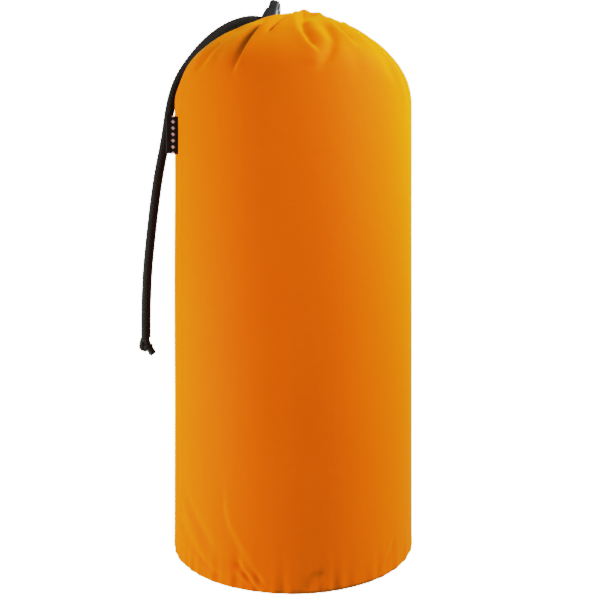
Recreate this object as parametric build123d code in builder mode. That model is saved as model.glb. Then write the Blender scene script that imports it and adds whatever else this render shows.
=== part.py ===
from build123d import *
import os
from math import asin, cos, degrees, pi, radians, sin, sqrt, tan

# Drawstring stuff sack, filled to its round shape and standing on its base, in millimetres.
# The origin is the middle of the base. +Z is up, -Y is the front and -X is the side seam.

# Driving dimensions
sack_radius = 85.0
sack_wall = 1.2              # laid-up thickness of the coated nylon, thicker than the cloth itself
base_corner = 3.0            # rounding where the tube turns under to the base disc
shoulder_z = 309.0           # the straight tube ends and the gathered dome begins
shoulder_radius = 50.0
shoulder_turn = 58.0         # degrees turned by the shoulder before the flatter crown
crown_radius = 23.0          # flat ground around the cinched mouth

mouth_x = 7.0                # the gathers close a little off the axis
mouth_radius = 6.8
channel_radius = 15.2
channel_top = 378.0

cord_diameter = 6.0
cord_loop_radius = 11.0      # the cord's ring inside its channel when the mouth is cinched
cord_loop_fillet = 6.0
cord_gap = 0.6               # between the two legs where they run side by side
cord_play = 0.4

lock_tilt = 16.0             # the legs climb at this angle through the cord lock
lock_arc_radius = 46.0       # the bend of the legs over the dome, which the lock slides along
lock_arc_x = -29.7
lock_arc_z = 330.9
lock_press = 2.5             # travel of the plunger

seam_angle = 205.0           # side seam, degrees about +Z from +X
tag_height = 25.0
tag_middle_z = 284.2
tag_reach = 8.0
tag_thickness = 1.4
tag_fold_radius = 0.63
thread = 0.5
thread_clear = 0.02          # between a stitch and the round face it lies on
stitch_length = 2.6

# Worked out from those
cord_radius = cord_diameter / 2
leg_y = (cord_diameter + cord_gap) / 2
base_radius = sack_radius - base_corner
shoulder_centre = (sack_radius - shoulder_radius, shoulder_z)
turn = radians(shoulder_turn)
shoulder_end_r = shoulder_centre[0] + shoulder_radius * cos(turn)
shoulder_end_z = shoulder_z + shoulder_radius * sin(turn)
crown_arc = (shoulder_end_r - crown_radius) / cos(turn)
crown_centre = (crown_radius, shoulder_end_z - crown_arc * sin(turn))
crown_z = crown_centre[1] + crown_arc

tilt = radians(lock_tilt)
lock_x = lock_arc_x + lock_arc_radius * sin(tilt)
lock_z = lock_arc_z + lock_arc_radius * cos(tilt)
mitre_x = -8.5               # where the level legs turn up towards the lock
leg_spare = 2.0              # how far each leg runs past the mitre before it is cut there
tail_spare = 0.6             # how far each tail starts before it
loop_z = lock_z - (mitre_x - lock_x) * tan(tilt)

seam_plane = Plane(
    origin=(0, 0, 0), x_dir=(cos(radians(seam_angle)), sin(radians(seam_angle)), 0), z_dir=(0, 0, 1)
)
mitre_plane = Plane(origin=(mitre_x, 0, loop_z), z_dir=(-cos(tilt / 2), 0, sin(tilt / 2)))
lock_plane = Plane(
    origin=(lock_x, 0, lock_z), x_dir=(cos(tilt), 0, -sin(tilt)), z_dir=(sin(tilt), 0, cos(tilt))
)

cross_plane = Plane(origin=(lock_x, 0, lock_z), x_dir=(0, -1, 0), z_dir=(-cos(tilt), 0, sin(tilt)))
lock_axis = Axis((lock_x, 0, lock_z), (sin(tilt), 0, cos(tilt)))

os.makedirs("parts", exist_ok=True)


def save(piece, name):
    # One labelled STEP file for each sub-part.
    piece.part.label = name
    export_step(piece.part, f"parts/{name}.step")


def half_section(inset):
    # The sack's half section inset from its outer surface, open at the base when it is inset.
    with BuildSketch(Plane.XZ) as section:
        with BuildLine():
            Line((0, 0), (base_radius, 0))
            if inset:
                Line((base_radius, 0), (base_radius, inset))
            CenterArc((base_radius, base_corner), base_corner - inset, -90, 90)
            Line((sack_radius - inset, base_corner), (sack_radius - inset, shoulder_z))
            CenterArc(shoulder_centre, shoulder_radius - inset, 0, shoulder_turn)
            CenterArc(crown_centre, crown_arc - inset, shoulder_turn, 90 - shoulder_turn)
            Line((crown_radius, crown_z - inset), (0, crown_z - inset))
            Line((0, crown_z - inset), (0, 0))
        make_face()
    return section.sketch


# Coated nylon tube, gathered into the dome, with the side seam's slot for the tag
outside = half_section(0)
inside = half_section(sack_wall)
with BuildPart() as body_panel:
    revolve(outside, axis=Axis.Z)
    revolve(inside, axis=Axis.Z, mode=Mode.SUBTRACT)
    with BuildSketch(Plane.XY.offset(crown_z)):
        with Locations((mouth_x, 0)):
            Circle(mouth_radius)
    extrude(amount=-2 * sack_wall, mode=Mode.SUBTRACT)
    with BuildSketch(seam_plane.offset(tag_middle_z - tag_height / 2)):
        with Locations((sack_radius - sack_wall / 2, 0)):
            Rectangle(2 * sack_wall, tag_thickness)
    extrude(amount=tag_height, mode=Mode.SUBTRACT)
save(body_panel, "body_panel")

# Round base disc, sewn to the tube's lower edge
with BuildPart() as base_panel:
    with BuildSketch(Plane.XY):
        Circle(base_radius)
    extrude(amount=sack_wall)
save(base_panel, "base_panel")

# Bound seam allowance, standing up inside along the base seam
binding_height = 8.8
binding_thickness = 1.6
binding_gap = 0.4
binding_outer = base_radius - binding_gap
binding_inner = binding_outer - binding_thickness
with BuildPart() as base_seam_binding:
    with BuildSketch(Plane.XY.offset(sack_wall)):
        Circle(binding_outer)
        Circle(binding_inner, mode=Mode.SUBTRACT)
    extrude(amount=binding_height)
save(base_seam_binding, "base_seam_binding")

base_stitches = 72
with BuildPart() as base_seam_stitches:
    with Locations((0, 0, sack_wall + binding_height / 2)):
        with PolarLocations(binding_inner - thread / 2 - thread_clear, base_stitches):
            Box(thread, stitch_length, thread)
save(base_seam_stitches, "base_seam_stitches")

# Bound side seam, lying flat against the tube inside and covering the tag's root
seam_width = 9.0
seam_gap_low = 2.0
seam_gap_high = 3.0
seam_bottom = sack_wall + binding_height + seam_gap_low
seam_length = shoulder_z - seam_gap_high - seam_bottom
seam_face = sack_radius - 2 * sack_wall
with BuildPart() as side_seam_binding:
    with BuildSketch(Plane.XY.offset(seam_bottom)):
        Circle(sack_radius - sack_wall)
        Circle(seam_face, mode=Mode.SUBTRACT)
        with PolarLocations(seam_face, 1, start_angle=seam_angle):
            Rectangle(4 * sack_wall, seam_width, mode=Mode.INTERSECT)
    extrude(amount=seam_length)
save(side_seam_binding, "side_seam_binding")

seam_stitches = 42
stitch_row = 2.6
with BuildPart() as side_seam_stitches:
    row_x = sqrt(seam_face**2 - stitch_row**2) - thread / 2 - thread_clear
    with Locations(seam_plane.offset(seam_bottom + seam_length / 2)):
        with Locations((row_x, -stitch_row, 0), (row_x, stitch_row, 0)):
            for step in range(seam_stitches):
                with Locations((0, 0, (step - (seam_stitches - 1) / 2) * seam_length / seam_stitches)):
                    Box(thread, thread, stitch_length)
save(side_seam_stitches, "side_seam_stitches")

# Woven side tag, folded double with its root caught in the side seam
with BuildPart() as side_tag:
    with BuildSketch(seam_plane.offset(tag_middle_z - tag_height / 2)):
        tag_inner = sack_radius - sack_wall
        tag_outer = sack_radius + tag_reach
        with Locations(((tag_inner + tag_outer) / 2, 0)):
            Rectangle(tag_outer - tag_inner, tag_thickness)
    extrude(amount=tag_height)
    fold = side_tag.edges().filter_by(Axis.Z).group_by(SortBy.DISTANCE)[-1]
    fillet(fold, tag_fold_radius)
save(side_tag, "side_tag")

# The drawcord's ring, its two fillets and the level legs, in the plane of the channel
fillet_reach = cord_loop_radius + cord_loop_fillet
fillet_y = leg_y + cord_loop_fillet
fillet_x = mouth_x - sqrt(fillet_reach**2 - fillet_y**2)
fillet_lean = degrees(asin(fillet_y / fillet_reach))
leg_end_x = mitre_x - leg_spare


def loop_bar(radius):
    # A round bar along the drawcord's path inside the channel, as two mirrored halves.
    with BuildPart() as bar:
        with BuildLine(Plane.XY.offset(loop_z)) as path:
            Line((leg_end_x, -leg_y), (fillet_x, -leg_y))
            CenterArc((fillet_x, -fillet_y), cord_loop_fillet, 90, fillet_lean - 90)
            CenterArc((mouth_x, 0), cord_loop_radius, fillet_lean - 180, 180 - fillet_lean)
        with BuildSketch(Plane(origin=(leg_end_x, -leg_y, loop_z), z_dir=(1, 0, 0))):
            Circle(radius)
        sweep(path=path.wire())
        mirror(about=Plane.XZ)
    return bar.part


# Hemmed channel, bunched into a ring around the cinched mouth
cord_tunnel = loop_bar(cord_radius + cord_play)
with BuildPart() as drawcord_channel:
    with BuildSketch(Plane.XY.offset(crown_z)):
        with Locations((mouth_x, 0)):
            Circle(channel_radius)
            Circle(mouth_radius, mode=Mode.SUBTRACT)
    extrude(amount=channel_top - crown_z)
    add(cord_tunnel, mode=Mode.SUBTRACT)
save(drawcord_channel, "drawcord_channel")

channel_stitch_count = 22
channel_stitch_rise = 1.6
with BuildPart() as channel_stitches:
    with Locations((mouth_x, 0, crown_z + channel_stitch_rise)):
        with PolarLocations(channel_radius + thread / 2, channel_stitch_count):
            Box(thread, stitch_length, thread)
save(channel_stitches, "channel_stitches")

# Bar tacks on both sides of the opening where the cord leaves its channel
bartack_spread = 38.0        # degrees each side of the opening
bartack_size = (0.8, 1.8, 8.0)
bartack_drop = 6.5
bartack_ring = channel_radius + bartack_size[0] / 2
with BuildPart() as channel_bartacks:
    with Locations((mouth_x, 0, channel_top - bartack_drop)):
        with PolarLocations(bartack_ring, 2, 180 - bartack_spread, 4 * bartack_spread):
            Box(*bartack_size)
save(channel_bartacks, "channel_bartacks")

cord_bar = loop_bar(cord_radius)
with BuildPart() as drawcord_loop:
    add(cord_bar)
    split(bisect_by=mitre_plane, keep=Keep.BOTTOM)
save(drawcord_loop, "drawcord_loop")

# Both tails leave the channel, pass the cord lock and bend over the dome on the lock's arc
corner_step = 10.0
corner_reach = lock_arc_radius / cos(radians(corner_step))


def arc_corner(angle):
    # A corner of the polygon around the lock's arc, in degrees from +X towards +Z.
    return (lock_arc_x + corner_reach * cos(radians(angle)), lock_arc_z + corner_reach * sin(radians(angle)))


lock_angle = 90 - lock_tilt
first_corner = arc_corner(lock_angle + corner_step)
second_corner = arc_corner(lock_angle + 3 * corner_step)
third_corner = arc_corner(lock_angle + 5 * corner_step)
tail_start = (mitre_x + tail_spare * cos(tilt), loop_z - tail_spare * sin(tilt))

front_route = [
    (tail_start[0], -leg_y, tail_start[1]),
    (first_corner[0], -leg_y, first_corner[1]),
    (second_corner[0], -leg_y, second_corner[1]),
    (third_corner[0], -leg_y, third_corner[1]),
    (-70.5, -3.6, 355.6),
    (-83.2, -4.2, 337.4),
    (-89.4, -5.2, 317.0),
    (-92.0, -6.8, 289.0),
    (-97.2, -8.4, 262.0),
    (-101.8, -9.6, 222.0),
    (-105.4, -10.0, 182.0),
    (-105.4, -10.0, 146.9),
]
back_route = [
    (tail_start[0], leg_y, tail_start[1]),
    (first_corner[0], leg_y, first_corner[1]),
    (second_corner[0], leg_y, second_corner[1]),
    (third_corner[0], leg_y, third_corner[1]),
    (-69.5, 10.5, 358.0),
    (-80.0, 22.0, 343.0),
    (-86.0, 34.5, 320.0),
    (-84.5, 43.0, 293.0),
    (-81.5, 48.0, 264.0),
    (-79.6, 51.0, 227.0),
    (-79.8, 51.6, 190.0),
    (-79.8, 51.6, 157.0),
]


def largest_radii(route):
    # The largest tangent arc at each corner: 0.45 of its shorter run over the tangent of half the turn.
    points = [Vector(*point) for point in route]
    radii = []
    for before, corner, after in zip(points, points[1:], points[2:]):
        shorter = min((corner - before).length, (after - corner).length)
        half_turn = radians((corner - before).get_angle(after - corner)) / 2
        radii.append(0.45 * shorter / tan(half_turn))
    return radii


def sweep_tail(route, name):
    # A cord tube of straight runs and tangent arcs, mitred to the end of the loop's leg.
    radii = largest_radii(route)
    start = Vector(*route[0])
    with BuildPart() as tail:
        with BuildLine() as path:
            FilletPolyline(*route, radius=radii)
        with BuildSketch(Plane(origin=start, z_dir=Vector(*route[1]) - start)):
            Circle(cord_radius)
        sweep(path=path.wire())
        split(bisect_by=mitre_plane, keep=Keep.TOP)
    length = path.wire().length
    section = pi * cord_radius**2
    print(name, "length", round(length, 1), "volume ratio", round(tail.part.volume / section / length, 4))
    print(name, "radii", [round(radius, 1) for radius in radii])
    return tail


drawcord_tail_front = sweep_tail(front_route, "drawcord_tail_front")
save(drawcord_tail_front, "drawcord_tail_front")
drawcord_tail_back = sweep_tail(back_route, "drawcord_tail_back")
save(drawcord_tail_back, "drawcord_tail_back")

# Overhand stopper knots, each with its short cut end standing out below
knot_radius = 5.3
knot_drop = sqrt(knot_radius**2 - cord_radius**2)
stub_radius = 2.4
stub_length = 9.4
front_stub = (0.62, -0.1, -0.78)
back_stub = (-0.35, 0.3, -0.89)


def tie_knot(route, stub_direction):
    # A rounded knot that meets the tail's end face, and the cut end coming out of it.
    x, y, z = route[-1]
    centre = (x, y, z - knot_drop)
    with BuildPart() as knot:
        with Locations(centre):
            Sphere(knot_radius)
        split(bisect_by=Plane(origin=(x, y, z), z_dir=(0, 0, 1)), keep=Keep.BOTTOM)
        with BuildSketch(Plane(origin=centre, z_dir=stub_direction)):
            Circle(stub_radius)
        extrude(amount=stub_length)
    return knot


knot_front = tie_knot(front_route, front_stub)
save(knot_front, "knot_front")
knot_back = tie_knot(back_route, back_stub)
save(knot_back, "knot_back")

# Cord lock: a tapered oval barrel with a blind bore and a cross slot for the two legs
barrel_bottom = -9.5
barrel_waist = 2.0
barrel_top = 8.0
barrel_floor = 1.3
barrel_size = (13.6, 20.4)
barrel_corner = 5.5
barrel_edge = 1.4
barrel_top_size = (10.8, 18.6)
barrel_top_corner = 4.6
bore_size = (8.4, 16.2)
bore_corner = 3.2
slot_size = (13.6, 7.2)      # both cross slots, wide enough for the two legs side by side
with BuildPart() as cord_lock_barrel:
    with BuildSketch(lock_plane.offset(barrel_bottom)):
        RectangleRounded(*barrel_size, barrel_corner)
    extrude(amount=barrel_waist - barrel_bottom)
    fillet(cord_lock_barrel.edges().group_by(lock_axis)[0], barrel_edge)
    with BuildSketch(lock_plane.offset(barrel_waist)):
        RectangleRounded(*barrel_size, barrel_corner)
    with BuildSketch(lock_plane.offset(barrel_top)):
        RectangleRounded(*barrel_top_size, barrel_top_corner)
    loft()
    with BuildSketch(lock_plane.offset(barrel_top)):
        RectangleRounded(*bore_size, bore_corner)
    extrude(amount=barrel_bottom + barrel_floor - barrel_top, mode=Mode.SUBTRACT)
    with BuildSketch(cross_plane):
        SlotOverall(*slot_size)
    extrude(amount=barrel_size[0], both=True, mode=Mode.SUBTRACT)
save(cord_lock_barrel, "cord_lock_barrel")

# Plunger: a thumb button on a stem whose own slot traps the legs against the barrel's
plunger_size = (7.8, 15.6)
plunger_corner = 2.9
button_edge = 2.2
plunger_bottom = -4.9
plunger_top = 15.5
plunger_slot_low = -3.4
plunger_slot_high = slot_size[1] / 2 + lock_press
plunger_slot_corner = 3.0
with BuildPart() as cord_lock_plunger:
    with BuildSketch(lock_plane.offset(plunger_bottom)):
        RectangleRounded(*plunger_size, plunger_corner)
    extrude(amount=plunger_top - plunger_bottom)
    fillet(cord_lock_plunger.edges().group_by(lock_axis)[-1], button_edge)
    with BuildSketch(cross_plane):
        with Locations((0, (plunger_slot_low + plunger_slot_high) / 2)):
            RectangleRounded(slot_size[0], plunger_slot_high - plunger_slot_low, plunger_slot_corner)
    extrude(amount=plunger_size[0], both=True, mode=Mode.SUBTRACT)
save(cord_lock_plunger, "cord_lock_plunger")

# Return spring, standing on the barrel's floor under the plunger
spring_wire = 0.6
spring_radius = 3.0
spring_floor = barrel_bottom + barrel_floor
spring_height = plunger_bottom - spring_floor
spring_pitch = 1.1
spring_clear = 0.3           # at both of its ends
with BuildPart() as cord_lock_spring:
    with BuildLine(lock_plane.offset(spring_floor + spring_wire / 2 + spring_clear)):
        coil_height = spring_height - spring_wire - 2 * spring_clear
        coil = Helix(spring_pitch, coil_height, spring_radius, direction=lock_plane.z_dir)
    with BuildSketch(Plane(origin=coil @ 0, z_dir=coil % 0)):
        Circle(spring_wire / 2)
    sweep(path=coil, is_frenet=True)
save(cord_lock_spring, "cord_lock_spring")

print("crown height", round(crown_z, 2), "loop height", round(loop_z, 2))
print("lock centre", round(lock_x, 2), round(lock_z, 2))
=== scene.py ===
import math
import random
import bmesh
import bpy
import numpy as np
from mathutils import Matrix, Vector


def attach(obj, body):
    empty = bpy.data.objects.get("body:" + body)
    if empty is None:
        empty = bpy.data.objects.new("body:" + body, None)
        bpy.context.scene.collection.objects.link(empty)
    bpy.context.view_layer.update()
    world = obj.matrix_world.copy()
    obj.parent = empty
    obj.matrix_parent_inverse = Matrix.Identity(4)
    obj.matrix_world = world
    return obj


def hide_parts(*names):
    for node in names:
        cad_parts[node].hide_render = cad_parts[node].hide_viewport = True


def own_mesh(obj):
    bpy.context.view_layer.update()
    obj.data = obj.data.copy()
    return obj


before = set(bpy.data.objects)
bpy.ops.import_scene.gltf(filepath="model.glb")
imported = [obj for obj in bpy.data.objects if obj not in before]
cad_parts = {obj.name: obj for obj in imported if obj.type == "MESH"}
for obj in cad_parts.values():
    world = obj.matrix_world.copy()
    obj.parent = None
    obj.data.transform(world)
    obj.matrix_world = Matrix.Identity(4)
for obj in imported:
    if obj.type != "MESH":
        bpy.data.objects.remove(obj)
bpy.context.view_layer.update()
mm = 0.001
print("frame loaded")

cameraSettings = {"place": (0.00475, -0.4314, 0.1739), "lens": 35.38, "sensor": 36.0, "nearest": 0.01}


def makeCamera():
    # Level with the sack's middle, looking straight along +Y.
    data = bpy.data.cameras.new("sackCamera")
    data.lens = cameraSettings["lens"]
    data.sensor_width = cameraSettings["sensor"]
    data.clip_start = cameraSettings["nearest"]
    camera = bpy.data.objects.new("sackCamera", data)
    camera.location = cameraSettings["place"]
    camera.rotation_euler = (math.radians(90), 0, 0)
    bpy.context.scene.collection.objects.link(camera)
    bpy.context.scene.camera = camera


makeCamera()
print("camera made")


def rolledGrid(name, columns, rows, place, flat, mergeAt=0.00002):
    # A flat grid rolled into its shape by place(u, v), with the flat cloth's metres kept as its UVs.
    sheet = bmesh.new()
    sheet.loops.layers.uv.new("flat")
    bmesh.ops.create_grid(sheet, x_segments=columns, y_segments=rows, size=0.5, calc_uvs=True)
    u = np.array([vert.co.x for vert in sheet.verts]) + 0.5
    v = np.array([vert.co.y for vert in sheet.verts]) + 0.5
    points = place(u, v)
    for vert, point in zip(sheet.verts, points):
        vert.co = point
    bmesh.ops.remove_doubles(sheet, verts=sheet.verts, dist=mergeAt)
    bmesh.ops.dissolve_degenerate(sheet, edges=sheet.edges, dist=mergeAt / 10)
    bmesh.ops.recalc_face_normals(sheet, faces=sheet.faces)
    mesh = bpy.data.meshes.new(name)
    sheet.to_mesh(mesh)
    sheet.free()
    layer = mesh.uv_layers["flat"].data
    uv = np.zeros(len(layer) * 2, np.float32)
    layer.foreach_get("uv", uv)
    uv = uv.reshape(-1, 2) * np.array(flat, np.float32)
    layer.foreach_set("uv", uv.ravel())
    return linkMesh(mesh, name)


def linkMesh(mesh, name):
    for face in mesh.polygons:
        face.use_smooth = True
    piece = bpy.data.objects.new(name, mesh)
    bpy.context.scene.collection.objects.link(piece)
    return piece


def dress(piece, material, body):
    piece.data.materials.clear()
    piece.data.materials.append(material)
    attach(piece, body)


def smoothStep(low, high, value):
    t = np.clip((value - low) / (high - low), 0, 1)
    return t * t * (3 - 2 * t)


def newMaterial(name, colour, roughness, sheen=0.0, sheenTint=(1, 1, 1), specular=0.5):
    material = bpy.data.materials.new(name)
    material.use_nodes = True
    shader = material.node_tree.nodes["Principled BSDF"]
    shader.inputs["Base Color"].default_value = (*colour, 1)
    shader.inputs["Roughness"].default_value = roughness
    shader.inputs["Specular IOR Level"].default_value = specular
    shader.inputs["Sheen Weight"].default_value = sheen
    shader.inputs["Sheen Tint"].default_value = (*sheenTint, 1)
    return material, material.node_tree.nodes, material.node_tree.links, shader


def coordinates(nodes, links, output, scale):
    source = nodes.new("ShaderNodeTexCoord")
    mapping = nodes.new("ShaderNodeMapping")
    mapping.inputs["Scale"].default_value = scale
    links.new(source.outputs[output], mapping.inputs["Vector"])
    return mapping.outputs["Vector"]


def noiseOf(nodes, links, vector, scale, detail=3.0):
    texture = nodes.new("ShaderNodeTexNoise")
    texture.inputs["Scale"].default_value = scale
    texture.inputs["Detail"].default_value = detail
    links.new(vector, texture.inputs["Vector"])
    return texture.outputs["Fac"]


def waveOf(nodes, links, vector, scale, direction):
    texture = nodes.new("ShaderNodeTexWave")
    texture.bands_direction = direction
    texture.inputs["Scale"].default_value = scale
    links.new(vector, texture.inputs["Vector"])
    return texture.outputs["Fac"]


def mathOf(nodes, links, operation, first, second):
    node = nodes.new("ShaderNodeMath")
    node.operation = operation
    for socket, value in zip(node.inputs, (first, second)):
        if isinstance(value, (int, float)):
            socket.default_value = value
        else:
            links.new(value, socket)
    return node.outputs[0]


def mixColours(nodes, links, factor, dark, light):
    node = nodes.new("ShaderNodeMix")
    node.data_type = "RGBA"
    node.inputs["A"].default_value = (*dark, 1)
    node.inputs["B"].default_value = (*light, 1)
    links.new(factor, node.inputs["Factor"])
    return node.outputs["Result"]


def bumpInto(nodes, links, shader, height, strength, distance):
    node = nodes.new("ShaderNodeBump")
    node.inputs["Strength"].default_value = strength
    node.inputs["Distance"].default_value = distance
    links.new(height, node.inputs["Height"])
    links.new(node.outputs["Normal"], shader.inputs["Normal"])


nylonSettings = {
    "dark": (0.475, 0.066, 0.0016), "light": (0.52, 0.077, 0.0023), "roughness": 0.6, "specular": 0.006,
    "sheen": 0.32, "sheenRoughness": 0.75, "sheenTint": (0.28, 0.50, 0.0),
    "threadPitch": 0.00045, "weaveHeight": 0.10, "roughHeight": 0.3, "bump": 0.16, "bumpDistance": 0.0012,
    "toneScale": 22, "crinkleScale": 130, "roughScale": 420,
}


def nylonMaterial():
    # Plain-woven taffeta: fine crossed threads, with a soft crinkle under them.
    own = nylonSettings
    material, nodes, links, shader = newMaterial(
        "orangeNylon", own["light"], own["roughness"], own["sheen"], own["sheenTint"], own["specular"])
    shader.inputs["Sheen Roughness"].default_value = own["sheenRoughness"]
    place = coordinates(nodes, links, "UV", (1, 1, 1))
    solid = coordinates(nodes, links, "Object", (1, 1, 1))
    tone = noiseOf(nodes, links, solid, own["toneScale"], 4)
    links.new(mixColours(nodes, links, tone, own["dark"], own["light"]), shader.inputs["Base Color"])
    scale = 2 * math.pi / (20 * own["threadPitch"])  # a wave texture runs 20 radians in a unit
    warp = waveOf(nodes, links, place, scale, "X")
    weft = waveOf(nodes, links, place, scale, "Y")
    crossed = mathOf(nodes, links, "MAXIMUM", warp, weft)
    weave = mathOf(nodes, links, "MULTIPLY", crossed, own["weaveHeight"])
    crinkle = noiseOf(nodes, links, solid, own["crinkleScale"], 3)
    rough = noiseOf(nodes, links, solid, own["roughScale"], 2)
    height = mathOf(nodes, links, "ADD", mathOf(nodes, links, "ADD", weave, crinkle),
                    mathOf(nodes, links, "MULTIPLY", rough, own["roughHeight"]))
    bumpInto(nodes, links, shader, height, own["bump"], own["bumpDistance"])
    return material


braidSettings = {"colour": (0.008, 0.007, 0.005), "dark": (0.003, 0.0025, 0.002),
                 "light": (0.013, 0.011, 0.008), "roughness": 0.8, "specular": 0.12,
                 "sheen": 0.06, "sheenTint": (0.8, 0.75, 0.6),
                 "fibreScale": 2600, "bump": 0.35, "bumpDistance": 0.0002}


def braidMaterial():
    # Black braided polyester. Its strands are in the mesh, and this adds the fibres along them.
    own = braidSettings
    material, nodes, links, shader = newMaterial(
        "blackBraid", own["colour"], own["roughness"], own["sheen"], own["sheenTint"], own["specular"])
    place = coordinates(nodes, links, "UV", (1, 1, 1))
    fibre = noiseOf(nodes, links, place, own["fibreScale"], 4)
    links.new(mixColours(nodes, links, fibre, own["dark"], own["light"]), shader.inputs["Base Color"])
    bumpInto(nodes, links, shader, fibre, own["bump"], own["bumpDistance"])
    return material


plasticSettings = {"colour": (0.010, 0.011, 0.011), "dark": (0.008, 0.009, 0.009),
                   "light": (0.015, 0.016, 0.016), "roughness": 0.5, "specular": 0.22,
                   "smoothest": 0.34, "rubbedBy": 0.2, "grainScale": 1900, "rubScale": 160,
                   "bump": 0.25, "bumpDistance": 0.00012}


def plasticMaterial():
    # Moulded nylon with a fine spark-eroded texture, a little paler where it is rubbed.
    own = plasticSettings
    material, nodes, links, shader = newMaterial(
        "lockPlastic", own["colour"], own["roughness"], specular=own["specular"])
    solid = coordinates(nodes, links, "Object", (1, 1, 1))
    grain = noiseOf(nodes, links, solid, own["grainScale"], 5)
    rub = noiseOf(nodes, links, solid, own["rubScale"], 3)
    links.new(mixColours(nodes, links, rub, own["dark"], own["light"]), shader.inputs["Base Color"])
    rougher = mathOf(nodes, links, "MULTIPLY", rub, own["rubbedBy"])
    links.new(mathOf(nodes, links, "ADD", rougher, own["smoothest"]), shader.inputs["Roughness"])
    bumpInto(nodes, links, shader, grain, own["bump"], own["bumpDistance"])
    return material


tapeSettings = {"colour": (0.50, 0.065, 0.006), "dark": (0.42, 0.05, 0.005),
                "light": (0.54, 0.075, 0.007), "roughness": 0.65, "sheen": 0.2,
                "ribScale": 320, "bump": 0.3, "bumpDistance": 0.0003}


def tapeMaterial():
    # Grosgrain binding tape with ribs along its width.
    own = tapeSettings
    material, nodes, links, shader = newMaterial(
        "seamTape", own["colour"], own["roughness"], own["sheen"])
    solid = coordinates(nodes, links, "Object", (1, 1, 1))
    ribs = waveOf(nodes, links, solid, own["ribScale"], "Z")
    links.new(mixColours(nodes, links, ribs, own["dark"], own["light"]), shader.inputs["Base Color"])
    bumpInto(nodes, links, shader, ribs, own["bump"], own["bumpDistance"])
    return material


threadSettings = {"colour": (0.60, 0.11, 0.012), "dark": (0.48, 0.08, 0.008),
                  "light": (0.66, 0.14, 0.016), "roughness": 0.5, "sheen": 0.25,
                  "twistScale": 2400, "bump": 0.4, "bumpDistance": 0.0002}


def threadMaterial():
    # Twisted sewing thread.
    own = threadSettings
    material, nodes, links, shader = newMaterial(
        "sewingThread", own["colour"], own["roughness"], own["sheen"])
    solid = coordinates(nodes, links, "Object", (1, 1, 1))
    twist = noiseOf(nodes, links, solid, own["twistScale"], 2)
    links.new(mixColours(nodes, links, twist, own["dark"], own["light"]), shader.inputs["Base Color"])
    bumpInto(nodes, links, shader, twist, own["bump"], own["bumpDistance"])
    return material


steelSettings = {"colour": (0.55, 0.55, 0.56), "roughness": 0.3, "smoothest": 0.2, "drawnBy": 0.25,
                 "drawnScale": 3000}


def steelMaterial():
    # Drawn spring wire.
    own = steelSettings
    material, nodes, links, shader = newMaterial("springSteel", own["colour"], own["roughness"])
    shader.inputs["Metallic"].default_value = 1.0
    solid = coordinates(nodes, links, "Object", (1, 1, 1))
    drawn = noiseOf(nodes, links, solid, own["drawnScale"], 2)
    rougher = mathOf(nodes, links, "MULTIPLY", drawn, own["drawnBy"])
    links.new(mathOf(nodes, links, "ADD", rougher, own["smoothest"]), shader.inputs["Roughness"])
    return material


ribbonSettings = {"ground": (0.010, 0.010, 0.012), "dark": (0.008, 0.008, 0.010),
                  "pale": (0.78, 0.82, 0.88), "roughness": 0.7, "specular": 0.15, "flatWidth": 0.0186,
                  "diamondPitch": 0.0042, "diamondReach": 0.001364, "ribScale": 700,
                  "bump": 0.25, "bumpDistance": 0.00015}


def ribbonMaterial():
    # Damask ribbon: a column of pale woven diamonds on a black ground.
    own = ribbonSettings
    material, nodes, links, shader = newMaterial(
        "wovenTag", own["ground"], own["roughness"], specular=own["specular"])
    source = nodes.new("ShaderNodeTexCoord")
    split = nodes.new("ShaderNodeSeparateXYZ")
    links.new(source.outputs["UV"], split.inputs["Vector"])
    across = mathOf(nodes, links, "PINGPONG", split.outputs["X"], own["flatWidth"] / 2)
    offMiddle = mathOf(nodes, links, "SUBTRACT", across, own["flatWidth"] / 4)
    fromMiddle = mathOf(nodes, links, "ABSOLUTE", offMiddle, 0)
    along = mathOf(nodes, links, "PINGPONG", split.outputs["Y"], own["diamondPitch"] / 2)
    fromCentre = mathOf(nodes, links, "ADD", fromMiddle, along)
    diamond = mathOf(nodes, links, "LESS_THAN", fromCentre, own["diamondReach"])
    links.new(mixColours(nodes, links, diamond, own["dark"], own["pale"]), shader.inputs["Base Color"])
    ribs = waveOf(nodes, links, coordinates(nodes, links, "UV", (1, 1, 1)), own["ribScale"], "Y")
    bumpInto(nodes, links, shader, ribs, own["bump"], own["bumpDistance"])
    return material


nylon = nylonMaterial()
braid = braidMaterial()
plastic = plasticMaterial()
tape = tapeMaterial()
thread = threadMaterial()
steel = steelMaterial()
ribbon = ribbonMaterial()
print("materials made")

# Lengths in metres. The braid is drawn thinner by the pulled share between two lengths along it.
cordSettings = {
    "diameter": 0.006, "strands": 8, "period": 0.0029, "relief": 0.00052, "fullness": 0.00016,
    "around": 48, "ringStep": 0.00034, "roundness": 0.7, "weaveOver": 0.4,
    "pulled": 0.15, "pulledFrom": 0.022, "pulledTo": 0.075, "pullsIn": 0.015, "letsGo": 0.03,
    "frontLength": 0.284, "backLength": 0.282,
}
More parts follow.
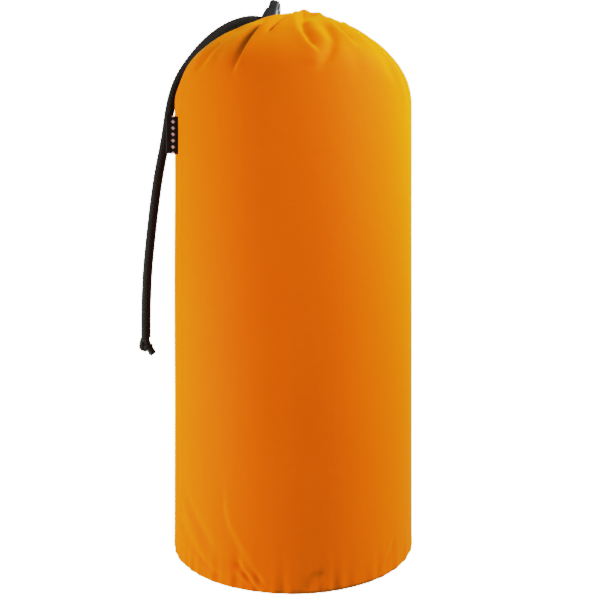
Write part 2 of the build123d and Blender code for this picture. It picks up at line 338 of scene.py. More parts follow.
# Each tail's way from the hem, over the dome and down to its knot, in mm.
frontRoute = [
    (-7.92, -3.3, 372.51), (-24.82, -3.3, 377.35), (-41.00, -3.3, 376.0), (-55.82, -3.4, 367.9),
    (-69.6, -3.6, 354.9), (-82.2, -4.2, 337.0), (-88.8, -5.2, 316.7), (-92.0, -6.8, 289.0),
    (-97.2, -8.4, 262.0), (-101.8, -9.6, 222.0), (-105.4, -10.0, 182.0), (-105.4, -10.0, 146.9),
]
backRoute = [
    (-7.92, 3.3, 372.51), (-24.82, 3.3, 377.35), (-41.00, 3.3, 376.22), (-55.3, 4.6, 369.9),
    (-65.5, 15.5, 361.8), (-77.5, 27.0, 344.0), (-86.0, 34.5, 320.0), (-84.5, 43.0, 293.0),
    (-81.5, 48.0, 264.0), (-79.6, 51.0, 227.0), (-79.8, 51.6, 190.0), (-79.8, 51.6, 157.0),
]


def readSpline(route, name):
    # Points along one smooth NURBS spline with the route's points as its controls.
    data = bpy.data.curves.new(name, "CURVE")
    data.dimensions = "3D"
    data.resolution_u = 40
    spline = data.splines.new("NURBS")
    spline.points.add(len(route) - 1)
    for point, place in zip(spline.points, route):
        point.co = (place[0] * mm, place[1] * mm, place[2] * mm, 1)
    spline.order_u = 3
    spline.use_endpoint_u = True
    holder = bpy.data.objects.new(name, data)
    mesh = bpy.data.meshes.new_from_object(holder)
    points = np.array([vert.co for vert in mesh.vertices], float)
    bpy.data.objects.remove(holder)
    bpy.data.curves.remove(data)
    bpy.data.meshes.remove(mesh)
    return points


def evenly(points, step):
    # The same line with its points a step apart.
    runs = np.linalg.norm(np.diff(points, axis=0), axis=1)
    reached = np.concatenate([[0], np.cumsum(runs)])
    count = max(int(round(reached[-1] / step)), 8)
    at = np.linspace(0, reached[-1], count + 1)
    return np.stack([np.interp(at, reached, points[:, axis]) for axis in range(3)], axis=1), reached[-1]


def crossFrames(points):
    # A tangent, a normal and a side for each point, turned as little as possible from one to the next.
    tangents = np.gradient(points, axis=0)
    tangents /= np.linalg.norm(tangents, axis=1)[:, None]
    normal = np.cross(tangents[0], (0.0, 0.0, 1.0) if abs(tangents[0][2]) < 0.9 else (1.0, 0.0, 0.0))
    normals = []
    for tangent in tangents:
        normal = normal - tangent * (normal @ tangent)
        normal = normal / np.linalg.norm(normal)
        normals.append(normal)
    normals = np.array(normals)
    return tangents, normals, np.cross(tangents, normals)


def braidedTube(name, points, radius, relief, capEnd=0.0, pulled=0.0):
    # A tube whose radius rises and falls with two crossing families of strands.
    own = cordSettings
    line, length = evenly(points, own["ringStep"])
    tangents, normals, sides = crossFrames(line)
    rows = len(line) - 1

    def place(u, v):
        row = np.clip(np.round(v * rows).astype(int), 0, rows)
        along = row * length / rows
        left = own["strands"] * u + along / own["period"]
        right = own["strands"] * u - along / own["period"]
        over = np.cos(math.pi * left) * np.cos(math.pi * right)
        leftRise = np.abs(np.cos(math.pi * left)) ** own["roundness"] * (1 + own["weaveOver"] * over)
        rightRise = np.abs(np.cos(math.pi * right)) ** own["roundness"] * (1 - own["weaveOver"] * over)
        thinner = smoothStep(own["pulledFrom"], own["pulledFrom"] + own["pullsIn"], along)
        thinner = thinner * smoothStep(own["pulledTo"] + own["letsGo"], own["pulledTo"], along)
        size = (radius - relief + relief * np.maximum(leftRise, rightRise)) * (1 - pulled * thinner)
        if capEnd:
            rounded = np.clip((length - along) / capEnd, 0, 1)
            size = size * np.sqrt(np.maximum(1 - (1 - rounded) ** 2, 0.0))
        angle = 2 * math.pi * u
        return (line[row] + normals[row] * (size * np.cos(angle))[:, None]
                + sides[row] * (size * np.sin(angle))[:, None])

    piece = rolledGrid(name, own["around"], rows, place, (2 * math.pi * radius, length))
    closeEnds(piece)
    return piece, line


def closeEnds(piece):
    # Caps every open edge loop.
    tube = bmesh.new()
    tube.from_mesh(piece.data)
    openEdges = [edge for edge in tube.edges if edge.is_boundary]
    if openEdges:
        bmesh.ops.holes_fill(tube, edges=openEdges, sides=0)
    bmesh.ops.recalc_face_normals(tube, faces=tube.faces)
    tube.to_mesh(piece.data)
    tube.free()


# Lengths in metres, turns in degrees.
knotSettings = {
    "strandRadius": 0.0023, "ringRadius": 0.00205, "pitchRadius": 0.00115, "turnPoints": 15,
    "firstTurn": 95, "turned": 610, "deeper": 1.25, "taller": 1.15,
    "reach": 0.0053, "drop": 0.00437, "stubReach": 0.0093, "roundEnd": 0.0009,
    "frontStub": (0.62, -0.1, -0.78), "backStub": (-0.35, 0.3, -0.89),
}


def knotLine(end, stubDirection):
    # An overhand knot: in from above, most of a trefoil's turns, then out along the stub.
    own = knotSettings
    centre = Vector(end) * mm - Vector((0, 0, own["drop"]))
    stub = Vector(stubDirection).normalized()
    route = [Vector(end) * mm, centre + Vector((0, 0, own["reach"] * 0.62))]
    for step in range(own["turnPoints"]):
        turn = math.radians(own["firstTurn"] + own["turned"] * step / (own["turnPoints"] - 1))
        wide = own["ringRadius"] + own["pitchRadius"] * math.cos(1.5 * turn)
        deep = own["pitchRadius"] * math.sin(1.5 * turn) * own["deeper"]
        route.append(centre + Vector((wide * math.cos(turn), deep, wide * math.sin(turn) * own["taller"])))
    route.append(centre + stub * own["reach"] * 0.7)
    route.append(centre + stub * own["stubReach"])
    return [tuple(point / mm) for point in route]


def makeCords():
    own = cordSettings
    for side, route in (("front", frontRoute), ("back", backRoute)):
        knotPath = readSpline(knotLine(route[-1], knotSettings[side + "Stub"]), f"knotLine{side}")
        knot, _ = braidedTube(f"stopper_knot_{side}", knotPath, knotSettings["strandRadius"],
                              own["relief"], capEnd=knotSettings["roundEnd"])
        dress(knot, braid, "sack")
        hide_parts(f"knot_{side}")
        tail, line = braidedTube(f"cord_tail_{side}", readSpline(route, f"tailLine{side}"),
                                 own["diameter"] / 2 + own["fullness"], own["relief"], pulled=own["pulled"])
        dress(tail, braid, "sack")
        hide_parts(f"drawcord_tail_{side}")


makeCords()
print("cord tails and knots made")

# One turn of the cord round the mouth, in mm, with both legs leading out towards the lock.
loopSettings = {"centre": (7.0, 0.0), "radius": 11.0, "fillet": 6.0, "legY": 3.3, "height": 372.67,
                "startX": -8.3, "arcPoints": 22}


def makeLoop():
    # Out of one leg, round the mouth inside the hem and back along the other.
    own = loopSettings
    reach = own["radius"] + own["fillet"]
    filletY = own["legY"] + own["fillet"]
    filletX = own["centre"][0] - math.sqrt(reach ** 2 - filletY ** 2)
    lean = math.asin(filletY / reach)
    route = [(own["startX"], -own["legY"], own["height"]), (filletX, -own["legY"], own["height"])]
    for step in range(own["arcPoints"]):
        turn = math.pi + lean + (2 * math.pi - 2 * lean) * step / (own["arcPoints"] - 1)
        x = own["centre"][0] + own["radius"] * math.cos(turn)
        route.append((x, own["radius"] * math.sin(turn), own["height"]))
    route.append((filletX, own["legY"], own["height"]))
    route.append((own["startX"], own["legY"], own["height"]))
    loop, _ = braidedTube("cord_in_channel", readSpline(route, "loopLine"),
                          cordSettings["diameter"] / 2, cordSettings["relief"])
    dress(loop, braid, "sack")
    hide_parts("drawcord_loop")


makeLoop()
print("channel cord made")

# Lengths are in mm, apart from the cloth's thickness in metres. The seam's angle is in degrees, and
# the pleats' drift and the calm front's span are in radians.
sackSettings = {
    "columns": 300, "rows": 146, "seamAngle": 205.0, "wallRadius": 85.0, "cornerRadius": 3.0,
    "shoulder": 308.7, "shoulderPull": 14.2, "crownPull": (84.8, 344.7), "crownEnd": (16.0, 378.1),
    "crownRadius": 40.0, "mouth": (7.0, 0.0), "ringStart": 362.0, "ringTop": 377.3,
    "lipRadius": 11.0, "innerRadius": 8.2, "innerFoot": 363.6, "frontDensity": 0.42, "thickness": 0.00035,
    "pleats": 24, "pleatReach": (34, 86), "pleatSize": (1.3, 2.5), "pleatDrift": 0.12, "seed": 11,
    "frontSpan": 0.95, "frontCalm": 0.85, "waveHeight": 0.35, "waveCount": 7, "waveSeed": 3,
    "puckerHeight": 0.42, "puckerRise": 9.0, "lockWidth": 13.0, "lockDent": 2.2,
    "seamAllowance": 9.5, "allowanceLift": 0.30, "seamDip": 0.55, "seamHalfWidth": 0.9,
}


def bezier(a, b, c, d, t):
    return (1 - t) ** 3 * a + 3 * (1 - t) ** 2 * t * b + 3 * (1 - t) * t ** 2 * c + t ** 3 * d


def sackProfile():
    # The cloth's line from the base seam, up the wall, over the dome, up the ruffle and down inside it.
    own = sackSettings
    turn = np.linspace(-math.pi / 2, 0, 10)
    corner = np.stack([own["wallRadius"] - own["cornerRadius"] + own["cornerRadius"] * np.cos(turn),
                       own["cornerRadius"] + own["cornerRadius"] * np.sin(turn)], 1)
    wallHeights = np.linspace(own["cornerRadius"] + 2, own["shoulder"], 60)
    wall = np.stack([np.full(60, own["wallRadius"]), wallHeights], 1)
    t = np.linspace(0, 1, 400)[1:]
    domeOut = bezier(own["wallRadius"], own["wallRadius"], own["crownPull"][0], own["crownEnd"][0], t)
    domeUp = bezier(own["shoulder"], own["shoulder"] + own["shoulderPull"], own["crownPull"][1],
                    own["crownEnd"][1], t)
    dome = np.stack([domeOut, domeUp], 1)
    dome = dome[dome[:, 0] > own["crownRadius"]]
    crown = np.array([(33.0, 366.4), (26.0, 365.6), (20.5, 364.2), (17.0, 363.8)])
    ring = np.array([(15.6, 365.0), (15.4, 369.0), (15.2, 373.0), (14.2, 376.2),
                     (own["lipRadius"], own["ringTop"]), (8.9, 376.2), (own["innerRadius"], 373.0),
                     (own["innerRadius"], 368.0), (own["innerRadius"] + 0.6, own["innerFoot"])])
    line = np.concatenate([corner, wall, dome, crown, ring])
    runs = np.linalg.norm(np.diff(line, axis=0), axis=1)
    reached = np.concatenate([[0], np.cumsum(runs)])
    at = np.linspace(0, reached[-1], 1600)
    line = np.stack([np.interp(at, reached, line[:, 0]), np.interp(at, reached, line[:, 1])], 1)
    kernel = np.hanning(15) / np.hanning(15).sum()  # softens the joints between the line's parts
    ends = np.concatenate([np.repeat(line[:1], 7, 0), line, np.repeat(line[-1:], 7, 0)])
    smooth = np.stack([np.convolve(ends[:, axis], kernel, "valid") for axis in (0, 1)], 1)
    keep = smoothStep(20, 45, at)[:, None]
    return at, line * (1 - keep) + smooth * keep


profileAt, profileLine = sackProfile()
profileLength = profileAt[-1]
profileTangent = np.gradient(profileLine, axis=0)
profileTangent /= np.linalg.norm(profileTangent, axis=1)[:, None]
domeRows = profileLine[:, 0] > 34
print("cloth profile", round(float(profileLength), 1), "mm long")


def heightToAlong(z):
    # How far up the cloth a height on the wall or the dome is.
    return float(np.interp(z, profileLine[domeRows, 1], profileAt[domeRows]))


# Each fold follows its line of (degrees about the sack, height). A step is a pinched valley on one
# side and a thin crest on the other, and narrow is how much of its size is left at its low end.
# Depth, width and crest are in mm.
foldList = [
    {"line": [(-104, 358), (-106.5, 345), (-108.5, 334), (-111, 323), (-114.5, 311)], "kind": "step",
     "depth": 6.6, "width": 7.5, "crest": 1.5, "narrow": 0.42},
    {"line": [(-112, 358), (-109, 350), (-106, 345)], "kind": "groove", "depth": 1.4, "width": 2.0},
    {"line": [(-92, 364), (-94, 355), (-98, 344), (-101, 335)], "kind": "step",
     "depth": 6.4, "width": 4.6, "crest": 1.3, "narrow": 0.5},
    {"line": [(-103, 352), (-103, 343), (-104, 334)], "kind": "ridge", "depth": 1.5, "width": 3.2},
    {"line": [(-98, 357), (-98, 365)], "kind": "ridge", "depth": 1.1, "width": 3.8},
    {"line": [(-91, 358), (-92, 366)], "kind": "groove", "depth": 1.9, "width": 1.6},
    {"line": [(-86, 359), (-86, 366)], "kind": "ridge", "depth": 1.4, "width": 3.0},
    {"line": [(-88, 362), (-87.5, 350), (-86, 338), (-83, 328), (-79, 320)], "kind": "stepRight",
     "depth": 6.6, "width": 7.5, "crest": 1.2, "narrow": 0.45},
    {"line": [(-80, 349), (-79, 338), (-76, 328)], "kind": "ridge", "depth": 0.7, "width": 3.4},
    {"line": [(-73, 343), (-72, 332), (-74, 322), (-79, 310)], "kind": "groove",
     "depth": 1.9, "width": 3.6},
    {"line": [(-82, 324), (-82, 312)], "kind": "ridge", "depth": 0.7, "width": 6.5},
    {"line": [(-68, 364), (-67, 355), (-65, 342), (-61, 330)], "kind": "stepRight",
     "depth": 5.6, "width": 7.0, "crest": 1.0, "narrow": 0.4},
    {"line": [(-56, 352), (-54, 340), (-52, 330)], "kind": "ridge", "depth": 0.7, "width": 5.0},
    {"line": [(-63, 326), (-62, 317), (-62, 308)], "kind": "groove", "depth": 0.6, "width": 6.0},
    {"line": [(-50, 352), (-46, 336), (-42, 322), (-39, 311)], "kind": "groove",
     "depth": 1.1, "width": 5.5},
    {"line": [(-36, 336), (-31, 322), (-27, 308)], "kind": "groove", "depth": 0.9, "width": 5.0},
    {"line": [(-34, 326), (-30, 312), (-28, 300)], "kind": "ridge", "depth": 0.6, "width": 5.0},
    {"line": [(-126, 350), (-130, 334), (-136, 317)], "kind": "groove", "depth": 2.1, "width": 5.0},
    {"line": [(-119, 346), (-122, 332), (-125, 318)], "kind": "groove", "depth": 0.9, "width": 4.0},
    {"line": [(-112, 15), (-107, 8), (-103, 1)], "kind": "step",
     "depth": 3.6, "width": 6.0, "crest": 0.8},
    {"line": [(-119, 48), (-117, 38), (-110, 22), (-99, 3)], "kind": "step",
     "depth": 1.2, "width": 8.0, "crest": 0.4},
    {"line": [(-154, 66), (-149, 52), (-134, 34), (-124, 18)], "kind": "groove",
     "depth": 1.1, "width": 4.5},
    {"line": [(-147, 44), (-138, 28), (-128, 12)], "kind": "ridge", "depth": 0.7, "width": 4.5},
    {"line": [(-172, 366), (-172, 340), (-172, 316)], "kind": "groove", "depth": 2.8, "width": 25.0},
    {"line": [(-150, 27), (-142, 20), (-132, 12), (-119, 4)], "kind": "groove",
     "depth": 1.3, "width": 3.4},
    {"line": [(-112, 11), (-108, 6), (-105, 3)], "kind": "ridge", "depth": 1.5, "width": 3.4},
    {"line": [(-42, 17), (-46, 10), (-51, 3)], "kind": "stepRight",
     "depth": 2.2, "width": 3.4, "crest": 0.4},
    {"line": [(-80, 11), (-82, 6), (-83, 1)], "kind": "groove", "depth": 0.8, "width": 4.0},
]


sideFoldSettings = {"count": 9, "from": -22, "to": 146, "seed": 5}


def addSideFolds():
    # The far side's folds, spread round the dome and drawn at random from a fixed seed.
    own = sideFoldSettings
    draw = random.Random(own["seed"])
    for index in range(own["count"]):
        top = own["from"] + (own["to"] - own["from"]) * index / (own["count"] - 1) + draw.uniform(-5, 5)
        drift = draw.uniform(-7, 7)
        low = draw.uniform(316, 334)
        foldList.append({"line": [(top, 361), (top + drift * 0.3, 350), (top + drift, low)],
                         "kind": "step" if drift > 0 else "stepRight", "depth": draw.uniform(3.4, 5.6),
                         "width": draw.uniform(5.0, 8.0), "crest": draw.uniform(0.7, 1.1), "narrow": 0.4})


addSideFolds()


def angleBetween(theta, other):
    # The turn from one angle to another, the short way round.
    return np.mod(theta - other + math.pi, 2 * math.pi) - math.pi


def foldHeight(own, theta, along, radius):
    # How far one fold lifts the cloth.
    alongs = np.array([heightToAlong(z) for _, z in own["line"]])
    angles = np.radians([angle for angle, _ in own["line"]])
    order = np.argsort(alongs)
    centre = np.interp(along, alongs[order], angles[order])
    offset = angleBetween(theta, centre) * radius
    low, high = alongs.min(), alongs.max()
    fade = min(9.0, 0.4 * (high - low))
    envelope = smoothStep(low - 0.3 * fade, low + fade, along)
    envelope = envelope * (1 - smoothStep(high - 0.3 * fade, high + fade, along))
    upFold = np.clip((along - low) / max(high - low, 1.0), 0, 1)
    opening = own.get("narrow", 1.0) + (1 - own.get("narrow", 1.0)) * upFold
    # Grooves and ridges are even on both sides. A step falls sharply at its line and eases out beyond.
    if own["kind"] == "groove":
        return -own["depth"] * np.exp(-(offset / own["width"]) ** 2) * envelope
    if own["kind"] == "ridge":
        return own["depth"] * np.exp(-(offset / own["width"]) ** 2) * envelope
    side = offset if own["kind"] == "step" else -offset
    valley = -own["depth"] * opening * np.exp(np.minimum(side, 0) / (own["width"] * opening))
    valley = valley / (1 + np.exp(side / 0.7))
    crest = own["crest"] * np.exp(-((side - 0.8) / np.where(side < 0.8, 1.0, 6.0)) ** 2)
    return (valley + crest) * envelope


def seededPleats():
    # Small gathers all round the mouth: angle, reach, size and drift of each.
    own = sackSettings
    draw = random.Random(own["seed"])
    found = []
    for index in range(own["pleats"]):
        angle = 2 * math.pi * (index + draw.uniform(-0.28, 0.28)) / own["pleats"]
        found.append((angle, draw.uniform(*own["pleatReach"]), draw.uniform(*own["pleatSize"]),
                      draw.uniform(-own["pleatDrift"], own["pleatDrift"])))
    return found


pleatList = seededPleats()


def waves(theta, height, count, seed):
    # Slow seeded waves round and up the cloth, as its filling presses unevenly.
    draw = random.Random(seed)
    total = np.zeros_like(theta)
    for _ in range(count):
        size = draw.uniform(0.4, 1.0)
        around = draw.randint(2, 9) * theta + draw.uniform(0, 6.28)
        total += size * np.sin(around + height * draw.uniform(-0.05, 0.05))
    return total / count


def placeSack(theta, along):
    # Where the cloth at this angle and this far up is, in mm.
    own = sackSettings
    radius = np.interp(along, profileAt, profileLine[:, 0])
    height = np.interp(along, profileAt, profileLine[:, 1])
    outR = np.interp(along, profileAt, profileTangent[:, 1])
    outZ = -np.interp(along, profileAt, profileTangent[:, 0])
    onDome = np.where(along > 200, 1, 0)
    shift = smoothStep(0, 1, (80 - radius) / 62) * onDome  # the mouth sits a little off the middle
    ringStart = heightToAlong(own["ringStart"]) + 18
    onRing = smoothStep(ringStart, ringStart + 14, along)
    # Lift is how far the cloth stands out from its smooth profile.
    lift = np.zeros_like(theta)
    for fold in foldList:
        lift += foldHeight(fold, theta, along, np.maximum(radius, 20))
    lift *= 1 - 0.8 * onRing
    # The pleats start on the ruffle and die out down the dome, soonest at the front.
    fromRing = np.maximum(ringStart + 10 - along, 0)
    front = np.exp(-(angleBetween(theta, -math.pi / 2) / own["frontSpan"]) ** 2)
    for angle, reach, size, drift in pleatList:
        gap = angleBetween(theta, angle + drift * fromRing / 40)
        narrow = np.maximum(0.85, 0.08 * np.minimum(radius, 60) - 0.3)
        fall = np.clip(1 - fromRing / reach, 0, 1) ** 1.1
        strength = size * fall * (1 - own["frontCalm"] * front * (1 - onRing))
        lift -= 1.9 * strength * np.exp(-(gap * np.maximum(radius, 9) / narrow) ** 2)
        lift += 0.75 * strength / own["pleats"]
    lift += own["waveHeight"] * waves(theta, height, own["waveCount"], own["waveSeed"]) * (1 - onRing)
    # Small puckers where the wall is sewn to the base.
    lowest = np.exp(-np.maximum(height - 3, 0) / own["puckerRise"]) * smoothStep(0, 6, along)
    puckers = np.sin(46 * theta + 2.2 * np.sin(5 * theta))
    puckers = puckers + 0.6 * np.sin(71 * theta + 1.7 * np.sin(3 * theta))
    lift += own["puckerHeight"] * lowest * puckers * np.where(along < 120, 1, 0)
    # The cloth gives way under the cord lock.
    fromLock = angleBetween(theta, math.pi)
    underLock = np.exp(-(fromLock * radius / own["lockWidth"]) ** 2) * smoothStep(38, 29, radius)
    lift -= own["lockDent"] * underLock * (1 - onRing) * onDome
    # The side seam pulls in along its line, with the doubled cloth standing out beside it.
    fromSeam = angleBetween(theta, math.radians(own["seamAngle"]))
    seamLine = np.exp(-(fromSeam * radius / own["seamHalfWidth"]) ** 2)
    allowance = smoothStep(own["seamAllowance"] + 1, own["seamAllowance"] - 1, fromSeam * radius)
    allowance = allowance * np.where(fromSeam > 0, 1, 0)
    lift += (own["allowanceLift"] * allowance - own["seamDip"] * seamLine) * (1 - onRing)
    radius = radius + outR * lift
    height = height + outZ * lift
    x = own["mouth"][0] * shift + radius * np.cos(theta)
    y = own["mouth"][1] * shift + radius * np.sin(theta)
    return np.stack([x, y, np.maximum(height, 0.15)], 1)


def warpAngle(u):
    # Columns stand closer together at the front, where the folds are finest.
    own = sackSettings
    seam = math.radians(own["seamAngle"])
    theta = seam + 2 * math.pi * u
    return theta - own["frontDensity"] * (np.sin(theta + math.pi / 2) - math.sin(seam + math.pi / 2))


def warpRows(v):
    # Rows stand closer together at the base, on the dome and on the ruffle.
    shoulder = heightToAlong(306)
    ring = heightToAlong(sackSettings["ringStart"]) + 16
    return np.interp(v, [0, 0.09, 0.17, 0.31, 0.76, 1.0], [0, 16, 48, shoulder, ring, profileLength])


def makeSack():
    own = sackSettings

    def place(u, v):
        return placeSack(warpAngle(u), warpRows(v)) * mm

    sack = rolledGrid("sack_cloth", own["columns"], own["rows"], place,
                      (2 * math.pi * own["wallRadius"] * mm, profileLength * mm))
    wall = sack.modifiers.new("clothThickness", "SOLIDIFY")
    wall.thickness = own["thickness"]
    wall.offset = -1
    dress(sack, nylon, "sack")
    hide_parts("body_panel", "drawcord_channel")
    return sack


makeSack()
print("sack cloth made")

baseSettings = {"radius": 82.4, "columns": 180, "rows": 26, "height": 0.55, "rise": 0.36,
                "puckers": 46, "puckerHeight": 0.22, "uvWidth": 0.168, "thickness": 0.00035}


def makeBase():
    # The round bottom, puckered at its rim where the wall is sewn to it.
    own = baseSettings

    def place(u, v):
        radius = own["radius"] * v
        turn = 2 * math.pi * u
        pucker = own["puckerHeight"] * np.sin(own["puckers"] * turn) * smoothStep(66, 82, radius)
        height = own["height"] + own["rise"] * (1 - smoothStep(0.55, 1.0, v)) + pucker
        return np.stack([radius * np.cos(turn), radius * np.sin(turn), height], 1) * mm

    base = rolledGrid("base_disc", own["columns"], own["rows"], place, (own["uvWidth"], own["uvWidth"]))
    thick = base.modifiers.new("clothThickness", "SOLIDIFY")
    thick.thickness = own["thickness"]
    thick.offset = 0
    dress(base, nylon, "sack")
    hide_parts("base_panel")


makeBase()
print("base disc made")

tagSettings = {"angle": 205.0, "root": 83.9, "reach": 93.0, "fold": 0.55, "low": 271.7, "height": 25.0,
               "thickness": 0.0003, "bow": 0.5, "columns": 40, "rows": 40}


def makeTag():
    # A ribbon folded in half over its outer edge, with both ends caught in the side seam.
    own = tagSettings
    out = Vector((math.cos(math.radians(own["angle"])), math.sin(math.radians(own["angle"])), 0))
    side = Vector((-out.y, out.x, 0))
    straight = own["reach"] - own["root"] - own["fold"]
    half = straight + math.pi * own["fold"] / 2

    def place(u, v):
        along = u * 2 * half
        onFold = np.clip((along - straight) / (math.pi * own["fold"]), 0, 1) * math.pi
        after = np.clip(along - straight - math.pi * own["fold"], 0, None)
        reach = own["root"] + np.minimum(along, straight) + own["fold"] * np.sin(onFold) - after
        across = own["fold"] * np.cos(onFold)
        lean = own["bow"] * np.sin(math.pi * v) * (reach - own["root"]) / 9
        across = across + lean
        height = own["low"] + own["height"] * v
        x = out.x * reach + side.x * across
        y = out.y * reach + side.y * across
        return np.stack([x, y, height], 1) * mm

    tag = rolledGrid("woven_tag", own["columns"], own["rows"], place,
                     (ribbonSettings["flatWidth"], own["height"] * mm))
    thick = tag.modifiers.new("ribbonThickness", "SOLIDIFY")
    thick.thickness = own["thickness"]
    thick.offset = 0
    dress(tag, ribbon, "sack")
    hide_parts("side_tag")


makeTag()
print("tag made")

stitchSettings = {"count": 44, "length": 1.9, "radius": 0.24, "ringAlong": 23.5, "above": 0.0002,
                  "tackAngles": (142, 218), "tackRows": 9, "tackStart": 1.2, "tackStep": 0.8,
                  "tackLonger": 1.1}


def addStitch(target, place, direction, length, radius):
    # One rounded stitch of thread lying along a direction.
    turn = Vector((0, 0, 1)).rotation_difference(direction).to_matrix().to_4x4()
    made = bmesh.ops.create_icosphere(target, subdivisions=1, radius=radius * mm)
    for vert in made["verts"]:
        vert.co.z *= length / (2 * radius)
    bmesh.ops.transform(target, matrix=turn, verts=made["verts"])
    bmesh.ops.translate(target, vec=place, verts=made["verts"])


def onCloth(theta, along):
    return Vector(placeSack(np.array([theta]), np.array([along]))[0] * mm)


def awayFromMouth(place):
    # The level direction straight out from the mouth's middle.
    return Vector((place.x - sackSettings["mouth"][0] * mm, place.y, 0)).normalized()


def threadPiece(name, stitches, node):
    mesh = bpy.data.meshes.new(name)
    stitches.to_mesh(mesh)
    stitches.free()
    piece = linkMesh(mesh, name)
    dress(piece, thread, "sack")
    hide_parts(node)


def makeStitches():
    own = stitchSettings
    ringAlong = heightToAlong(sackSettings["ringStart"]) + own["ringAlong"]
    row = bmesh.new()
    for index in range(own["count"]):
        theta = 2 * math.pi * index / own["count"]
        here, there = onCloth(theta, ringAlong), onCloth(theta + 0.05, ringAlong)
        place = here + awayFromMouth(here) * own["above"]
        addStitch(row, place, (there - here).normalized(), own["length"], own["radius"])
    threadPiece("channel_thread", row, "channel_stitches")
    tacks = bmesh.new()
    for degrees in own["tackAngles"]:
        for step in range(own["tackRows"]):
            theta = math.radians(degrees)
            here = onCloth(theta, ringAlong + own["tackStart"] + step * own["tackStep"])
            away = awayFromMouth(here)
            addStitch(tacks, here + away * own["above"], Vector((-away.y, away.x, 0)),
                      own["length"] * own["tackLonger"], own["radius"])
    threadPiece("channel_tacks", tacks, "channel_bartacks")


makeStitches()
print("channel stitches made")

# In mm and degrees, along the lock's tilted axis. Keep is the share of its height left at full press.
springSettings = {"tilt": 16.0, "centre": (-17.02, 0.0, 375.12), "low": -7.9, "high": -5.2, "radius": 3.0,
                  "wire": 0.3, "wireSides": 8, "turns": 2.4, "stepsInTurn": 28, "keep": 0.16}


def makeSpring():
    own = springSettings
    tilt = math.radians(own["tilt"])
    axis = Vector((math.sin(tilt), 0, math.cos(tilt)))
    acrossAxis = Vector((math.cos(tilt), 0, -math.sin(tilt)))
    centre = Vector(own["centre"]) * mm
    steps = int(own["turns"] * own["stepsInTurn"])
    rise = (own["high"] - own["low"] - 2 * own["wire"]) * mm
    coil = bmesh.new()
    ring = bmesh.ops.create_circle(coil, segments=own["wireSides"], radius=own["wire"] * mm, cap_ends=False)
    start = centre + axis * (own["low"] + own["wire"]) * mm + acrossAxis * own["radius"] * mm
    turn = Vector((0, 0, 1)).rotation_difference(axis.cross(acrossAxis)).to_matrix().to_4x4()
    bmesh.ops.transform(coil, matrix=turn, verts=ring["verts"])
    bmesh.ops.translate(coil, vec=start, verts=ring["verts"])
    bmesh.ops.spin(coil, geom=coil.edges[:] + coil.verts[:], cent=centre, axis=axis,
                   dvec=axis * (rise / steps), angle=math.radians(360 * own["turns"]), steps=steps)
    bmesh.ops.holes_fill(coil, edges=[edge for edge in coil.edges if edge.is_boundary], sides=0)
    bmesh.ops.recalc_face_normals(coil, faces=coil.faces)
    mesh = bpy.data.meshes.new("return_spring")
    coil.to_mesh(mesh)
    coil.free()
    piece = linkMesh(mesh, "return_spring")
    dress(piece, steel, "cord_lock")
    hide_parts("cord_lock_spring")
    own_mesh(piece)


makeSpring()
print("spring made")

carried = {"base_seam_binding": tape, "side_seam_binding": tape, "base_seam_stitches": thread,
           "side_seam_stitches": thread, "cord_lock_barrel": plastic, "cord_lock_plunger": plastic}


def finishCarried():
    for name, material in carried.items():
        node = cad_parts[name]
        node.data.materials.clear()
        node.data.materials.append(material)


finishCarried()
print("carried-over parts finished")

# Seen white is what the camera sees of the room and the floor, and the lights are what they cast.
studioSettings = {
    "seenWhite": 4.0, "worldLight": 0.39, "floorLight": 0.06, "floorTone": 0.30,
    "floorHalf": 6, "floorRoughness": 0.9,
    "boxes": [
        {"name": "leftBox", "place": (-0.61, -0.20, 0.06), "aim": (0.0, 0.0, 0.08),
         "size": (0.22, 0.22), "power": 9.6},
        {"name": "rightBox", "place": (0.45, -0.19, 0.60), "aim": (0.05, 0.0, 0.34),
         "size": (0.14, 0.14), "power": 9.6},
        {"name": "backBox", "place": (0.0, 0.9, 0.6), "aim": (0.0, 0.0, 0.19),
         "size": (0.8, 0.6), "power": 7.0},
    ],
    # The view curve, as (light in, light out): straight at first, then a soft shoulder.
    "shoulder": [(0.0, 0.0), (0.15, 0.15), (0.3, 0.3), (0.45, 0.50), (0.57, 0.65),
                 (0.75, 0.72), (1.0, 0.75), (1.5, 0.79), (2.2, 0.83), (4.0, 1.0)],
}


def lightByRay(nodes, links, seen, cast):
    # One strength for what is looked at and another for the light it casts.
    rays = nodes.new("ShaderNodeLightPath")
    mix = nodes.new("ShaderNodeMix")
    mix.inputs["A"].default_value = cast
    mix.inputs["B"].default_value = seen
    links.new(rays.outputs["Is Camera Ray"], mix.inputs["Factor"])
    return mix.outputs["Result"]


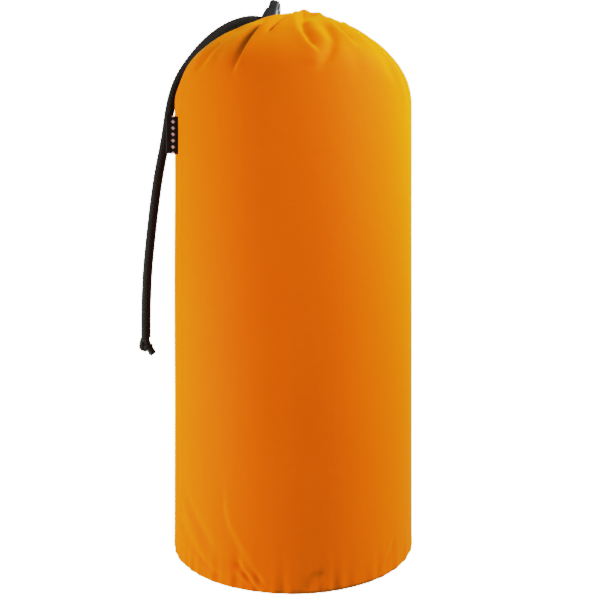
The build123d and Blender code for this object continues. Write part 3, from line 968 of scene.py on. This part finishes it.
def softShoulder():
    # Bright cloth rolls off gently in place of clipping. Only the view is changed, not a material.
    own = studioSettings
    view = bpy.context.scene.view_settings
    view.view_transform = "Standard"
    view.use_curve_mapping = True
    mapping = view.curve_mapping
    mapping.white_level = (own["seenWhite"],) * 3
    curve = mapping.curves[3]
    first, last = own["shoulder"][0], own["shoulder"][-1]
    curve.points[0].location = (first[0] / own["seenWhite"], first[1])
    curve.points[1].location = (last[0] / own["seenWhite"], last[1])
    for light, bright in own["shoulder"][1:-1]:
        curve.points.new(light / own["seenWhite"], bright)
    mapping.update()


def makeStudio():
    own = studioSettings
    world = bpy.data.worlds.new("paleRoom")
    bpy.context.scene.world = world
    world.use_nodes = True
    nodes, links = world.node_tree.nodes, world.node_tree.links
    background = nodes["Background"]
    background.inputs["Color"].default_value = (1, 1, 1, 1)
    strength = lightByRay(nodes, links, own["seenWhite"], own["worldLight"])
    links.new(strength, background.inputs["Strength"])
    for box in own["boxes"]:
        data = bpy.data.lights.new(box["name"], "AREA")
        data.shape = "RECTANGLE"
        data.size, data.size_y = box["size"]
        data.energy = box["power"]
        lamp = bpy.data.objects.new(box["name"], data)
        lamp.location = box["place"]
        lamp.visible_camera = False
        aim = Vector(box["aim"]) - Vector(box["place"])
        lamp.rotation_euler = aim.to_track_quat("-Z", "Y").to_euler()
        bpy.context.scene.collection.objects.link(lamp)
    floorMesh = bmesh.new()
    bmesh.ops.create_grid(floorMesh, x_segments=1, y_segments=1, size=own["floorHalf"])
    mesh = bpy.data.meshes.new("paleFloor")
    floorMesh.to_mesh(mesh)
    floorMesh.free()
    floor = linkMesh(mesh, "paleFloor")
    tone = (own["floorTone"],) * 3
    material, nodes, links, shader = newMaterial("paleFloor", tone, own["floorRoughness"])
    shader.inputs["Emission Color"].default_value = (1, 1, 1, 1)
    glow = lightByRay(nodes, links, own["seenWhite"], own["floorLight"])
    links.new(glow, shader.inputs["Emission Strength"])
    mesh.materials.append(material)
    softShoulder()


makeStudio()
print("studio made")
